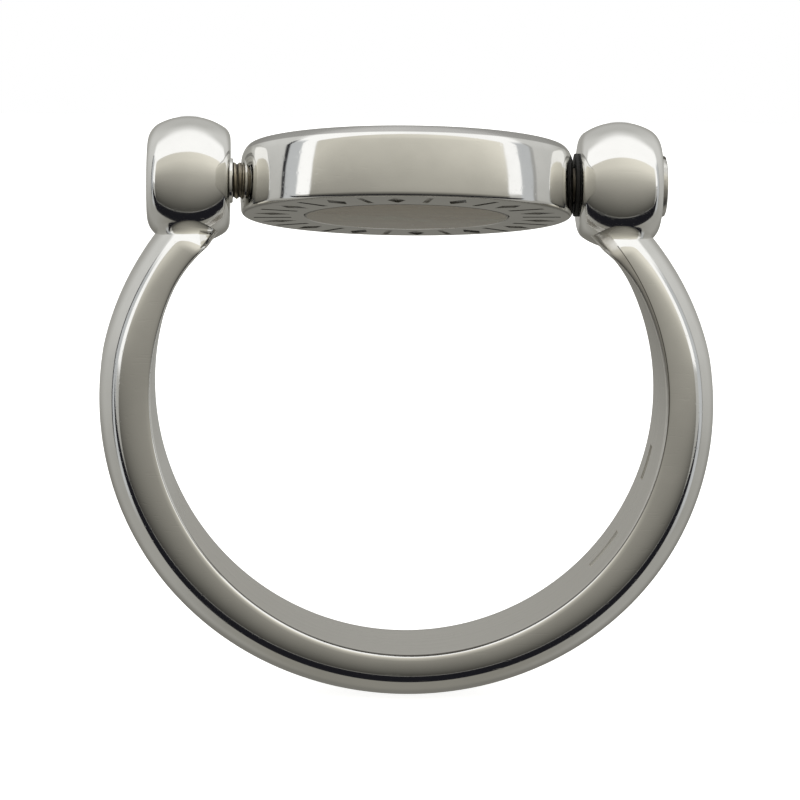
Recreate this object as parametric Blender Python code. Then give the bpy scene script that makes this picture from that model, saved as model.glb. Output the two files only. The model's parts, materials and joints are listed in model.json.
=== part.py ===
"""Flip ring: an open band with two ball terminals and a round head that swivels between them.

Frame: the origin is the centre of the finger opening, +Y runs along the finger, +Z points to the head
and +X points to the terminal that holds the screw's head. Lengths below are in millimetres.
"""
import math

import bmesh
import bpy
from mathutils import Matrix, Vector

MM = 0.001

# Band: an open ring of D-shaped section, flat towards the finger.
FINGER_RADIUS = 8.5
BAND_THICKNESS = 1.69
BAND_WIDTH = 4.1
BAND_EDGE_ROUND = 0.12
CROWN_FULLNESS = 2.3
BAND_STEPS = 52
CROWN_POINTS = 14

# The band is thinnest at its lowest point and swells on both sides. The swell is (amount, first angle,
# last angle), and is greatest half way. These angles and the ones below are in degrees above the
# opening's horizontal line.
SWELL = (0.20, -90.0, 30.0)

# Towards the terminals the band leans inwards. Each lean is (amount, first angle, angle of the full
# amount, power).
OUTER_LEAN = (0.44, 8.0, 40.0, 1.3)
INNER_LEAN = (0.25, 24.0, 38.0, 2.0)

# Each end is a rounded tongue that runs under its terminal.
TONGUE_START = 33.0
TONGUE_END = 44.0
TONGUE_STEPS = 8
TONGUE_TIP_SHARE = 0.12

# Axle: the line that the head turns about, parallel to X. Wear has set it over towards the left, and
# the band bends with it, by a power of the share of the way from its lowest point to its ends.
AXLE_HEIGHT = 7.11
AXLE_SHIFT = -0.29
SHIFT_POWER = 3
AXLE_RADIUS = 0.57
RUNNING_GAP = 0.03

# Terminals: balls with two flat ends, centred on the axle.
TERMINAL_OFFSET = 7.15
TERMINAL_RADIUS = 2.11
TERMINAL_HALF_WIDTH = 1.37
TERMINAL_ROUND = 0.72
SOLDER_GAP = 0.02
THREAD_DEPTH = 2.35
BOSS_RADIUS = 0.68
BOSS_HEIGHT = 0.09

# Screw: its slotted head sits in the right terminal, its threaded tail in the left one.
SCREW_HEAD_RADIUS = 1.03
SCREW_HEAD_PROUD = 0.18
SCREW_HEAD_SUNK = 0.30
SCREW_HEAD_CHAMFER = 0.10
SCREW_TAIL_GAP = 0.10
SLOT_WIDTH = 0.24
SLOT_DEPTH = 0.22
SLOT_TURN = math.radians(18.0)

# Friction washer between the head's rim and the right terminal.
WASHER_RADIUS = 1.05
WASHER_THICKNESS = 0.13

# Head: a thick round case with a recess and an inlay in each face, tilted as it was last left.
HEAD_RADIUS = 5.54
HEAD_THICKNESS = 2.3
HEAD_SHIFT = 0.085
HEAD_TILT = math.radians(-12.3)
UPPER_ROUND = 0.38
LOWER_ROUND = 0.12
INLAY_RADIUS = 3.38
INLAY_THICKNESS = 0.33
INLAY_GAP = 0.02
INLAY_CHAMFER = 0.04

TURNED_STEPS = 40
HEAD_STEPS = 80
SHARP_ANGLE = math.radians(32.0)

WHITE_GOLD = ("white_gold", (0.78, 0.77, 0.75), 0.08, 1.0)
BAND_GOLD = ("band_white_gold", (0.76, 0.75, 0.73), 0.10, 1.0)
SCREW_METAL = ("screw_metal", (0.50, 0.46, 0.39), 0.30, 1.0)
PEARL = ("pearl_inlay", (0.80, 0.76, 0.66), 0.25, 0.0)
ONYX = ("black_inlay", (0.015, 0.015, 0.016), 0.08, 0.0)
WASHER_BLACK = ("washer_black", (0.02, 0.02, 0.02), 0.55, 0.0)


def clear_scene():
    """Remove every object that the file opened with."""
    for existing in list(bpy.data.objects):
        bpy.data.objects.remove(existing, do_unlink=True)


def make_material(name, colour, roughness, metallic):
    """Make a Principled material of one colour."""
    material = bpy.data.materials.new(name)
    material.use_nodes = True
    shader = material.node_tree.nodes["Principled BSDF"]
    shader.inputs["Base Color"].default_value = (*colour, 1.0)
    shader.inputs["Roughness"].default_value = roughness
    shader.inputs["Metallic"].default_value = metallic
    material.diffuse_color = (*colour, 1.0)
    return material


def add_object(name, mesh_builder, finish):
    """Turn a bmesh in millimetres into a named object in metres with its own material."""
    bmesh.ops.remove_doubles(mesh_builder, verts=mesh_builder.verts, dist=1e-5)
    bmesh.ops.recalc_face_normals(mesh_builder, faces=mesh_builder.faces)
    bmesh.ops.scale(mesh_builder, vec=(MM, MM, MM), verts=mesh_builder.verts)
    mesh = bpy.data.meshes.new(name)
    mesh_builder.to_mesh(mesh)
    mesh_builder.free()
    mesh.shade_smooth()
    mesh.set_sharp_from_angle(angle=SHARP_ANGLE)
    if finish:
        mesh.materials.append(make_material(*finish))
    part = bpy.data.objects.new(name, mesh)
    bpy.context.collection.objects.link(part)
    return part


def on_axle(x):
    """Place in metres of the point that lies x along the axle from its middle."""
    return Vector((AXLE_SHIFT + x, 0.0, AXLE_HEIGHT)) * MM


def add_head_axis():
    """Add the empty that marks the line the head turns about, tilted as the head is."""
    empty = bpy.data.objects.new("head_axis", None)
    empty.location = on_axle(HEAD_SHIFT)
    empty.rotation_euler.x = HEAD_TILT
    bpy.context.collection.objects.link(empty)
    return empty


def cut(part, cutter):
    """Cut one object out of another and leave the cutter out of the model."""
    modifier = part.modifiers.new("cut_" + cutter.name, "BOOLEAN")
    modifier.operation = "DIFFERENCE"
    modifier.solver = "EXACT"
    modifier.object = cutter
    cutter.hide_render = True
    cutter.display_type = "WIRE"


def arc(centre, radius, start, end, count):
    """Points along a circular arc in a profile plane, both ends included."""
    step = (end - start) / count
    return [(centre[0] + radius * math.cos(start + step * i),
             centre[1] + radius * math.sin(start + step * i)) for i in range(count + 1)]


def turned(profile, steps, closed):
    """Turn an (along, out) profile about the Z axis; a closed profile makes a ring."""
    mesh_builder = bmesh.new()
    verts = [mesh_builder.verts.new((out, 0.0, along)) for along, out in profile]
    edges = [mesh_builder.edges.new(pair) for pair in zip(verts, verts[1:])]
    if closed:
        edges.append(mesh_builder.edges.new((verts[-1], verts[0])))
    bmesh.ops.spin(mesh_builder, geom=verts + edges, cent=(0, 0, 0), axis=(0, 0, 1),
                   angle=math.tau, steps=steps, use_merge=True)
    return mesh_builder


def turned_along_x(profile, steps, closed):
    """Turn an (x, radius) profile about the X axis."""
    mesh_builder = turned(profile, steps, closed)
    bmesh.ops.rotate(mesh_builder, cent=(0, 0, 0), verts=mesh_builder.verts,
                     matrix=Matrix.Rotation(math.pi / 2, 3, "Y"))
    return mesh_builder


def lean(kind, degrees):
    """How far the band leans inwards at an angle above the horizontal line."""
    amount, first, full, power = kind
    share = (degrees - first) / (full - first)
    return amount * min(max(share, 0.0), 1.0) ** power


def side_shift(degrees):
    """How far the band is set over along X at an angle above the horizontal line."""
    share = (degrees + 90.0) / (TONGUE_END + 90.0)
    return AXLE_SHIFT * share ** SHIFT_POWER


def thickness(degrees):
    """The band's thickness before its lean, with the swell."""
    amount, first, last = SWELL
    along = min(max((degrees - first) / (last - first), 0.0), 1.0)
    return BAND_THICKNESS + amount * math.sin(math.pi * along) ** 2


def tongue_share(degrees):
    """Share of the band's width that is left, which falls as a quarter ellipse along the tongue."""
    along = max(degrees - TONGUE_START, 0.0) / (TONGUE_END - TONGUE_START)
    return max(math.sqrt(max(1.0 - along ** 2, 0.0)), TONGUE_TIP_SHARE)


def band_section(degrees):
    """D section as (y, radius) points, at an angle above the opening's horizontal line."""
    inner = FINGER_RADIUS - lean(INNER_LEAN, degrees)
    outer = FINGER_RADIUS + thickness(degrees) - lean(OUTER_LEAN, degrees)
    half_width = BAND_WIDTH / 2 * tongue_share(degrees)
    shoulder = inner + BAND_EDGE_ROUND
    crown = outer - shoulder
    points = arc((-half_width + BAND_EDGE_ROUND, shoulder), BAND_EDGE_ROUND, 1.5 * math.pi, math.pi, 3)
    for i in range(1, CROWN_POINTS):
        turn = math.pi * (1.0 - i / CROWN_POINTS)
        across = math.copysign(abs(math.cos(turn)) ** (2 / CROWN_FULLNESS), math.cos(turn))
        points.append((half_width * across, shoulder + crown * math.sin(turn) ** (2 / CROWN_FULLNESS)))
    points += arc((half_width - BAND_EDGE_ROUND, shoulder), BAND_EDGE_ROUND, 0.0, -0.5 * math.pi, 3)
    return points


def band_angles():
    """Angles of the band's sections from the left tip to the right one, in degrees from +X."""
    half_sweep = 90.0 + TONGUE_START
    middle = [-90.0 + half_sweep * (2 * i / BAND_STEPS - 1) for i in range(BAND_STEPS + 1)]
    length = TONGUE_END - TONGUE_START
    tongue = [length * math.sin(0.5 * math.pi * i / TONGUE_STEPS) for i in range(1, TONGUE_STEPS + 1)]
    left = [middle[0] - step for step in reversed(tongue)]
    right = [middle[-1] + step for step in tongue]
    return left + middle + right


def build_shank():
    """Loft the band round the finger opening and shape its ends to the terminals."""
    mesh_builder = bmesh.new()
    rings = []
    for degrees in band_angles():
        angle = math.radians(degrees)
        height = abs(degrees + 90.0) - 90.0
        shift = side_shift(height)
        ring = [mesh_builder.verts.new((radius * math.cos(angle) + shift, y, radius * math.sin(angle)))
                for y, radius in band_section(height)]
        rings.append(ring)
    for ring, following in zip(rings, rings[1:]):
        for j, vert in enumerate(ring):
            after = (j + 1) % len(ring)
            mesh_builder.faces.new((vert, ring[after], following[after], following[j]))
    mesh_builder.faces.new(rings[0])
    mesh_builder.faces.new(rings[-1])
    shank = add_object("shank", mesh_builder, BAND_GOLD)
    for side, label in ((-1, "left"), (1, "right")):
        cutter_mesh = turned_along_x(ball_profile(SOLDER_GAP), TURNED_STEPS, closed=False)
        cutter = add_object("cutter_" + label, cutter_mesh, None)
        cutter.location = on_axle(side * TERMINAL_OFFSET)
        cut(shank, cutter)


def ball_outline(grow=0.0):
    """The terminal's outside, from the rim of its +X flat end to the rim of its -X one."""
    half_width = TERMINAL_HALF_WIDTH + grow
    ball = TERMINAL_RADIUS + grow
    centre_x = half_width - TERMINAL_ROUND
    centre_r = math.sqrt((ball - TERMINAL_ROUND) ** 2 - centre_x ** 2)
    tangent = math.atan2(centre_r, centre_x)
    outline = arc((centre_x, centre_r), TERMINAL_ROUND, 0.0, tangent, 4)
    outline += arc((0.0, 0.0), ball, tangent, math.pi - tangent, 6)[1:-1]
    outline += arc((-centre_x, centre_r), TERMINAL_ROUND, math.pi - tangent, math.pi, 4)
    return outline


def ball_profile(grow):
    """The terminal's outside closed down to its axis, as a solid."""
    half_width = TERMINAL_HALF_WIDTH + grow
    return [(half_width, 0.0), *ball_outline(grow), (-half_width, 0.0)]


def build_left_terminal():
    """Left ball: a blind tapped hole opens through a low boss on its inner flat end."""
    hole = AXLE_RADIUS + RUNNING_GAP
    mouth = TERMINAL_HALF_WIDTH + BOSS_HEIGHT
    bottom = TERMINAL_HALF_WIDTH - THREAD_DEPTH
    profile = [(bottom, 0.0), (bottom, hole), (mouth, hole), (mouth, BOSS_RADIUS)]
    profile += [(TERMINAL_HALF_WIDTH, BOSS_RADIUS), *ball_outline(), (-TERMINAL_HALF_WIDTH, 0.0)]
    part = add_object("left_terminal", turned_along_x(profile, TURNED_STEPS, closed=False), WHITE_GOLD)
    part.location = on_axle(-TERMINAL_OFFSET)


def build_right_terminal():
    """Right ball: a clear hole with a counterbore for the screw's head in its outer flat end."""
    hole = AXLE_RADIUS + RUNNING_GAP
    seat = TERMINAL_HALF_WIDTH - SCREW_HEAD_SUNK
    counterbore = SCREW_HEAD_RADIUS + RUNNING_GAP
    profile = [(seat, hole), (seat, counterbore), (TERMINAL_HALF_WIDTH, counterbore)]
    profile += [*ball_outline(), (-TERMINAL_HALF_WIDTH, hole)]
    part = add_object("right_terminal", turned_along_x(profile, TURNED_STEPS, closed=True), WHITE_GOLD)
    part.location = on_axle(TERMINAL_OFFSET)


def build_pivot_screw():
    """Slotted screw that runs from the right terminal through the head into the left one."""
    outer_face = TERMINAL_OFFSET + TERMINAL_HALF_WIDTH
    top = outer_face + SCREW_HEAD_PROUD
    under = outer_face - SCREW_HEAD_SUNK + SOLDER_GAP
    tail = -(TERMINAL_OFFSET - TERMINAL_HALF_WIDTH + THREAD_DEPTH - SCREW_TAIL_GAP)
    chamfer = SCREW_HEAD_CHAMFER
    profile = [(top, 0.0), (top, SCREW_HEAD_RADIUS - chamfer), (top - chamfer, SCREW_HEAD_RADIUS)]
    profile += [(under, SCREW_HEAD_RADIUS), (under, AXLE_RADIUS), (tail + chamfer, AXLE_RADIUS)]
    profile += [(tail, AXLE_RADIUS - chamfer), (tail, 0.0)]
    screw = add_object("pivot_screw", turned_along_x(profile, TURNED_STEPS, closed=False), SCREW_METAL)
    screw.location = on_axle(0.0)
    slot_mesh = bmesh.new()
    bmesh.ops.create_cube(slot_mesh, size=1.0)
    size = (2 * SLOT_DEPTH, SLOT_WIDTH, 3 * SCREW_HEAD_RADIUS)
    bmesh.ops.scale(slot_mesh, vec=size, verts=slot_mesh.verts)
    slot = add_object("cutter_slot", slot_mesh, None)
    slot.location = on_axle(top)
    slot.rotation_euler = (SLOT_TURN, 0.0, 0.0)
    cut(screw, slot)


def build_friction_washer():
    """Thin black washer on the screw, against the right terminal's inner flat end."""
    outer_x = TERMINAL_OFFSET - TERMINAL_HALF_WIDTH - SOLDER_GAP
    inner_x = outer_x - WASHER_THICKNESS + SOLDER_GAP
    hole = AXLE_RADIUS + RUNNING_GAP
    profile = [(inner_x, hole), (outer_x, hole), (outer_x, WASHER_RADIUS), (inner_x, WASHER_RADIUS)]
    washer = add_object("friction_washer", turned_along_x(profile, TURNED_STEPS, closed=True), WASHER_BLACK)
    washer.location = on_axle(0.0)


def build_head_frame(head_axis):
    """Round case: a web with a cross bore between a recess in each face."""
    half = HEAD_THICKNESS / 2
    floor = half - INLAY_THICKNESS - INLAY_GAP
    recess = INLAY_RADIUS + INLAY_GAP
    profile = [(floor, 0.0), (floor, recess), (half, recess)]
    profile += arc((half - UPPER_ROUND, HEAD_RADIUS - UPPER_ROUND), UPPER_ROUND, 0.0, 0.5 * math.pi, 6)
    profile += arc((-half + LOWER_ROUND, HEAD_RADIUS - LOWER_ROUND), LOWER_ROUND, 0.5 * math.pi, math.pi, 3)
    profile += [(-half, recess), (-floor, recess), (-floor, 0.0)]
    frame = add_object("head_frame", turned(profile, HEAD_STEPS, closed=False), WHITE_GOLD)
    frame.parent = head_axis
    bore_radius = AXLE_RADIUS + RUNNING_GAP
    bore_end = HEAD_RADIUS + 1.0
    bore_profile = [(bore_end, 0.0), (bore_end, bore_radius), (-bore_end, bore_radius), (-bore_end, 0.0)]
    bore = add_object("cutter_bore", turned_along_x(bore_profile, TURNED_STEPS, closed=False), None)
    bore.parent = head_axis
    cut(frame, bore)


def build_inlay(name, side, finish, head_axis):
    """Flat round inlay that fills the recess on one side of the head."""
    face = side * HEAD_THICKNESS / 2
    back = face - side * INLAY_THICKNESS
    bevel = face - side * INLAY_CHAMFER
    profile = [(face, 0.0), (face, INLAY_RADIUS - INLAY_CHAMFER), (bevel, INLAY_RADIUS)]
    profile += [(back, INLAY_RADIUS), (back, 0.0)]
    inlay = add_object(name, turned(profile, HEAD_STEPS, closed=False), finish)
    inlay.parent = head_axis


def main():
    clear_scene()
    build_shank()
    build_left_terminal()
    build_right_terminal()
    build_pivot_screw()
    build_friction_washer()
    head_axis = add_head_axis()
    build_head_frame(head_axis)
    build_inlay("lower_inlay", -1, PEARL, head_axis)
    build_inlay("upper_inlay", 1, ONYX, head_axis)


main()
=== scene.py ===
"""Flip ring: an open band with two ball terminals and a thick round head that swivels between them.

Everything is in metres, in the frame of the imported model: the origin is the centre of the finger opening,
+Y runs along the finger, +Z points to the head and +X to the terminal that holds the screw's head.
"""
import json
import math

import bmesh
import bpy
from bpy.props import FloatProperty, FloatVectorProperty, IntProperty, PointerProperty
from mathutils import Matrix, Vector


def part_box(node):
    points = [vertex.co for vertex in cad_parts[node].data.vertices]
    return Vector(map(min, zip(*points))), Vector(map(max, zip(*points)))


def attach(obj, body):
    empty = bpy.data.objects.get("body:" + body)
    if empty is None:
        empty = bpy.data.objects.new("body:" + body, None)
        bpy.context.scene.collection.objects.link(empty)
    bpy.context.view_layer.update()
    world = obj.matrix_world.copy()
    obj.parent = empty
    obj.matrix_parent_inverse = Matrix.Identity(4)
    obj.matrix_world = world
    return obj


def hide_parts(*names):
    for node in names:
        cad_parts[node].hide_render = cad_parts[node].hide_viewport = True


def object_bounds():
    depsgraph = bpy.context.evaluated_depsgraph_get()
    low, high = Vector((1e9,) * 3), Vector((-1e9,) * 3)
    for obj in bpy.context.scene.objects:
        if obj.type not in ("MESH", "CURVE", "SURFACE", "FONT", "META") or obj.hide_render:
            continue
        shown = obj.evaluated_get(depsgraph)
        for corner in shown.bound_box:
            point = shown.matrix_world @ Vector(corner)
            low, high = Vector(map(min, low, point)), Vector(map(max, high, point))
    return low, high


bl_info = {
    "name": "Flip ring",
    "version": (1, 0, 0),
    "blender": (4, 5, 0),
    "location": "3D View > Sidebar > Flip ring",
    "description": "Models a flip ring around its packed solids and sets up a small studio",
    "category": "Object",
}

MM = 0.001

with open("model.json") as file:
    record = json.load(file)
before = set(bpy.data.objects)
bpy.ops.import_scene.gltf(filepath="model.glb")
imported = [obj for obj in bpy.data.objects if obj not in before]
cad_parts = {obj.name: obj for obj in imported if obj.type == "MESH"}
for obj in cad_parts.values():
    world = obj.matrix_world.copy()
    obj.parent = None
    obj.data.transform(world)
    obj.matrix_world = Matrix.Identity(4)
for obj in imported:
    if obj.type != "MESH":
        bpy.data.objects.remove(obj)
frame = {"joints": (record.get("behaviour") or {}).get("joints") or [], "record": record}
CAD_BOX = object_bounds()
MOUNTS = {mount["name"]: mount for mount in frame["record"]["mounts"]}
SWIVEL = frame["joints"][0]

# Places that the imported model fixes.
HEAD_CENTRE = Vector(SWIVEL["pos_m"])
AXLE_Z = HEAD_CENTRE.z
LEFT_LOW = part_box("left_terminal")[0]
RIGHT_LOW, RIGHT_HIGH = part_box("right_terminal")
SCREW_LOW, SCREW_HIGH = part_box("pivot_screw")
WASHER_LOW, WASHER_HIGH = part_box("friction_washer")
TERMINAL_RADIUS = (RIGHT_HIGH.y - RIGHT_LOW.y) / 2
TERMINAL_HALF_WIDTH = (RIGHT_HIGH.x - RIGHT_LOW.x) / 2
UPPER_AXIS = Vector(MOUNTS["upper_face"]["axis"])
HEAD_TILT = -math.atan2(UPPER_AXIS.y, UPPER_AXIS.z)
HEAD_HALF = (Vector(MOUNTS["upper_face"]["pos_m"]) - HEAD_CENTRE).length
AXLE_MIDDLE_X = (LEFT_LOW.x + RIGHT_HIGH.x) / 2
THREAD_END_X = HEAD_CENTRE.x - 5.0 * MM

# Where the band's shape changes, as angles above the horizontal line; its lowest point is at -90 degrees.
LOWEST = math.radians(-90.0)
SWELL_SPAN = (LOWEST, math.radians(30.0))
OUTER_LEAN_SPAN = (math.radians(8.0), math.radians(40.0))
INNER_LEAN_SPAN = (math.radians(24.0), math.radians(38.0))

# Turning: the axes (a point and a direction), the smallest sizes, and how finely round stretches are drawn.
AXLE = ((0.0, 0.0, AXLE_Z), (1.0, 0.0, 0.0))
UPRIGHT = ((0.0, 0.0, 0.0), (0.0, 0.0, 1.0))
FINE_EDGE = 0.02 * MM
MERGE_WITHIN = 0.0002 * MM
CORNER_STEPS = 14
BALL_STEPS = 24

# Layout of the light tent, in degrees: side is the angle from the front, positive to the right, and away is
# the same without its sign; pitch is the angle over the ring from the front; height is the angle above the
# horizon. The front card's levels are pairs of pitch and brightness, from its lower edge to its upper one.
CARD_LEVELS = ((-55, 0.05), (-34, 0.15), (-10, 0.27), (14, 0.42), (41, 0.71), (57, 0.76))
CARD_SIDE = (72.5, 71.0)
STRIP_AWAY, STRIP_PITCH = (71.8, 83.4), (-12.0, 120.0)
COOL_AWAY, COOL_HEIGHT = (82.0, 95.0), (-30.0, 50.0)
GAP_AWAY, GAP_HEIGHT = (94.8, 98.2), (-18.0, 45.0)
LOW_GAP_PITCH, LOW_GAP_SIDE = (-80.0, -56.0), (-88.0, 84.0)


def length(label, millimetres, text):
    """A property that holds a length; its default is given in millimetres."""
    return FloatProperty(name=label, description=text, default=millimetres * MM, unit="LENGTH", precision=5)


def angle(label, degrees, text):
    """A property that holds an angle; its default is given in degrees."""
    return FloatProperty(name=label, description=text, default=math.radians(degrees), subtype="ANGLE")


def share(label, value, text):
    """A property that holds a plain number, mostly from 0 to 1."""
    return FloatProperty(name=label, description=text, default=value)


def colour(label, value, text):
    """A property that holds a linear colour."""
    return FloatVectorProperty(name=label, description=text, default=value, subtype="COLOR", min=0.0, max=4.0)


class BandSettings(bpy.types.PropertyGroup):
    """Sizes of the open band."""

    finger_radius: length("Finger radius", 8.5, "Radius of the opening")
    thickness: length("Thickness", 1.69, "From the opening to the crown, at the lowest point")
    swell: length("Swell", 0.20, "How much thicker the band is on both sides of the lowest point")
    width: length("Width", 4.1, "Along the finger")
    edge_round: length("Edge round", 0.17, "Radius of the edges beside the finger")
    fullness: share("Crown fullness", 2.3, "2 makes the crown an ellipse, more makes it squarer")
    outer_lean: length("Outer lean", 0.44, "How far the outside leans in at the terminals")
    inner_lean: length("Inner lean", 0.25, "How far the inside leans in at the terminals")
    tongue_start: angle("Tongue start", 35.0, "Angle above the horizontal line where the ends narrow")
    tongue_end: angle("Tongue end", 44.0, "Angle above the horizontal line where the ends stop")
    tongue_fullness: share("Tongue fullness", 1.6, "2 makes the ends half an ellipse, 1 a wedge")
    stamp_width: length("Stamp width", 0.5, "Width of the blank stamped fields inside")
    stamp_depth: length("Stamp depth", 0.09, "Depth of the blank stamped fields inside")
    stations: IntProperty(name="Stations", description="Sections from end to end", default=300)
    around: IntProperty(name="Points around", description="Points round the section", default=72)


class TerminalSettings(bpy.types.PropertyGroup):
    """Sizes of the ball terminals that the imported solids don't give."""

    outer_round: length("Outer round", 0.74, "Radius between the ball and its outer flat end")
    inner_round: length("Inner round", 0.46, "Radius between the ball and the flat end beside the head")
    boss_radius: length("Boss radius", 0.74, "Low boss round the thread on the left terminal")
    boss_height: length("Boss height", 0.09, "How far the boss stands out")
    hole_radius: length("Hole radius", 0.635, "Hole that the screw passes through")
    hole_depth: length("Hole depth", 0.5, "Depth of the left terminal's hole, round the thread")
    counterbore_radius: length("Counterbore radius", 1.06, "Recess for the screw's head")
    counterbore_depth: length("Counterbore depth", 0.30, "Depth of that recess")


class ScrewSettings(bpy.types.PropertyGroup):
    """Sizes of the pivot screw and its washer."""

    shank_radius: length("Shank radius", 0.57, "Plain part of the screw")
    head_radius: length("Head radius", 1.03, "Slotted head")
    head_chamfer: length("Head chamfer", 0.10, "Bevel round the head")
    slot_width: length("Slot width", 0.24, "Screwdriver slot")
    slot_depth: length("Slot depth", 0.22, "Screwdriver slot")
    slot_turn: angle("Slot turn", 18.0, "How far the slot is turned from upright")
    pitch: length("Pitch", 0.19, "Distance between thread crests")
    thread_depth: length("Thread depth", 0.065, "From crest to root")
    thread_crest: length("Thread crest radius", 0.61, "Outer radius of the thread")
    washer_radius: length("Washer radius", 1.05, "Outer radius of the black washer")


class HeadSettings(bpy.types.PropertyGroup):
    """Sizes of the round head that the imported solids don't give."""

    radius: length("Radius", 5.54, "Outer radius of the case")
    upper_round: length("Upper edge round", 0.11, "Round of the edge worn outwards")
    shoulder_round: length("Shoulder round", 0.70, "Wider round below that edge")
    shoulder_lean: angle("Shoulder lean", 46.0, "Slope where the shoulder meets the edge round")
    lower_round: length("Lower edge round", 0.19, "Round of the edge towards the finger")
    rim_round: length("Rim round", 9.0, "Radius of the rim's slight bulge")
    rim_lean: angle("Rim lean", 5.0, "Slope of the rim where the shoulder starts")
    inlay_radius: length("Inlay radius", 3.38, "Radius of both inlays")
    inlay_depth: length("Inlay thickness", 0.33, "Thickness of both inlays")
    inlay_gap: length("Cement line", 0.02, "Gap round each inlay")
    edge_break: length("Edge break", 0.04, "Small chamfer round the inlays and their recesses")
    marks: IntProperty(name="Marks", description="Engraved marks round each border", default=28)
    mark_length: length("Mark length", 1.25, "Radial length of a mark")
    mark_width: length("Mark width", 0.2, "Width of a bar")
    mark_depth: length("Mark depth", 0.06, "Depth of the engraving")


class FinishSettings(bpy.types.PropertyGroup):
    """Colours and gloss of the finishes."""

    gold: colour("White gold", (0.86, 0.855, 0.835), "Polished metal")
    gold_gloss: share("Polish", 0.065, "Roughness of the polished metal")
    inner_gold: colour("Worn gold", (0.78, 0.765, 0.73), "Metal that rubs on the finger")
    inner_gloss: share("Worn polish", 0.30, "Roughness where the metal rubs on the finger")
    screw: colour("Screw metal", (0.74, 0.73, 0.70), "Head and plain part of the screw")
    thread: colour("Thread metal", (0.50, 0.45, 0.36), "Thread of the screw, a little browned")
    # The grime colour also paints the shade line along the band's inner edges.
    grime: colour("Grime", (0.05, 0.043, 0.035), "Dirt in the thread and round the inlays")
    washer: colour("Washer", (0.012, 0.012, 0.012), "Black washer")
    pearl: colour("Pearl", (0.60, 0.505, 0.345), "Main colour of the mother-of-pearl")
    pearl_rose: colour("Pearl rose", (0.53, 0.41, 0.28), "Warm veins of the mother-of-pearl")
    pearl_green: colour("Pearl green", (0.57, 0.545, 0.38), "Cool veins of the mother-of-pearl")
    onyx: colour("Onyx", (0.012, 0.012, 0.013), "Black inlay")


class StudioSettings(bpy.types.PropertyGroup):
    """Camera and light tent."""

    turn: angle("Camera turn", -2.3, "Camera's angle to the side, positive towards the left")
    rise: angle("Camera rise", 8.5, "Camera's angle above the ring")
    roll: angle("Camera roll", 0.95, "Camera's turn about its own line of sight")
    distance: length("Camera distance", 109.7, "From the centre of the finger opening")
    lens: share("Lens", 147.1, "Focal length in millimetres")
    shift_x: share("Shift X", -0.0120, "Sideways shift of the frame")
    shift_y: share("Shift Y", -0.0069, "Upward shift of the frame")
    card: colour("Front card", (1.0, 0.965, 0.85), "Tint of the front card")
    white: colour("Soft light", (1.12, 1.12, 1.11), "Overhead light and side strips")
    wall: colour("Wall", (0.66, 0.66, 0.64), "Walls beside the ring")
    low_wall: colour("Foot of the wall", (0.37, 0.365, 0.34), "Side walls below the ring's height")
    blue_wall: colour("Cool wall", (0.55, 0.565, 0.575), "Wall between a side strip and the dark gap")
    back: colour("Back", (0.52, 0.52, 0.50), "Wall behind the ring, above its height")
    mid_back: colour("Middle of the back", (0.38, 0.375, 0.35), "Wall behind the ring, at its height")
    low_back: colour("Foot of the back", (0.20, 0.195, 0.175), "Wall behind the ring, below its height")
    floor: colour("Floor", (0.9, 0.9, 0.9), "Pale floor under the ring")
    floor_glow: share("Floor glow", 0.82, "Light that the floor gives off, which keeps it pale")
    below: colour("Below", (0.26, 0.252, 0.222), "What lies below the ring")
    dark: colour("Dark gap", (0.012, 0.012, 0.015), "Dark gaps between the cards")


class RingSettings(bpy.types.PropertyGroup):
    """All the settings of the flip ring."""

    band: PointerProperty(type=BandSettings)
    terminal: PointerProperty(type=TerminalSettings)
    screw: PointerProperty(type=ScrewSettings)
    head: PointerProperty(type=HeadSettings)
    finish: PointerProperty(type=FinishSettings)
    studio: PointerProperty(type=StudioSettings)


# ---------------------------------------------------------------- shader maths


def operator(operation, swapped=False):
    """A method of Value that adds one Math node; swapped puts the other operand first."""
    def method(self, other):
        return self.shader.maths(operation, *((other, self) if swapped else (self, other)))
    return method


class Value:
    """A number in a node tree; Python's operators on it add Math nodes."""

    __add__, __radd__ = operator("ADD"), operator("ADD", True)
    __sub__, __rsub__ = operator("SUBTRACT"), operator("SUBTRACT", True)
    __mul__, __rmul__ = operator("MULTIPLY"), operator("MULTIPLY", True)
    __truediv__, __rtruediv__ = operator("DIVIDE"), operator("DIVIDE", True)

    def __init__(self, shader, socket):
        self.shader = shader
        self.socket = socket

    def __neg__(self):
        return self * -1.0

    def __abs__(self):
        return self.shader.maths("ABSOLUTE", self)

    def step(self, low, high):
        """0 below low, 1 above high and a smooth rise between; high may be the smaller one."""
        found = self.shader.add("ShaderNodeMapRange", {"interpolation_type": "SMOOTHSTEP"},
                                {"Value": self, "From Min": low, "From Max": high})
        return Value(self.shader, found.outputs["Result"])

    def between(self, low, high, soft):
        """1 between low and high and 0 outside, with edges as wide as soft."""
        return self.step(low - soft / 2, low + soft / 2) * self.step(high + soft / 2, high - soft / 2)


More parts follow.
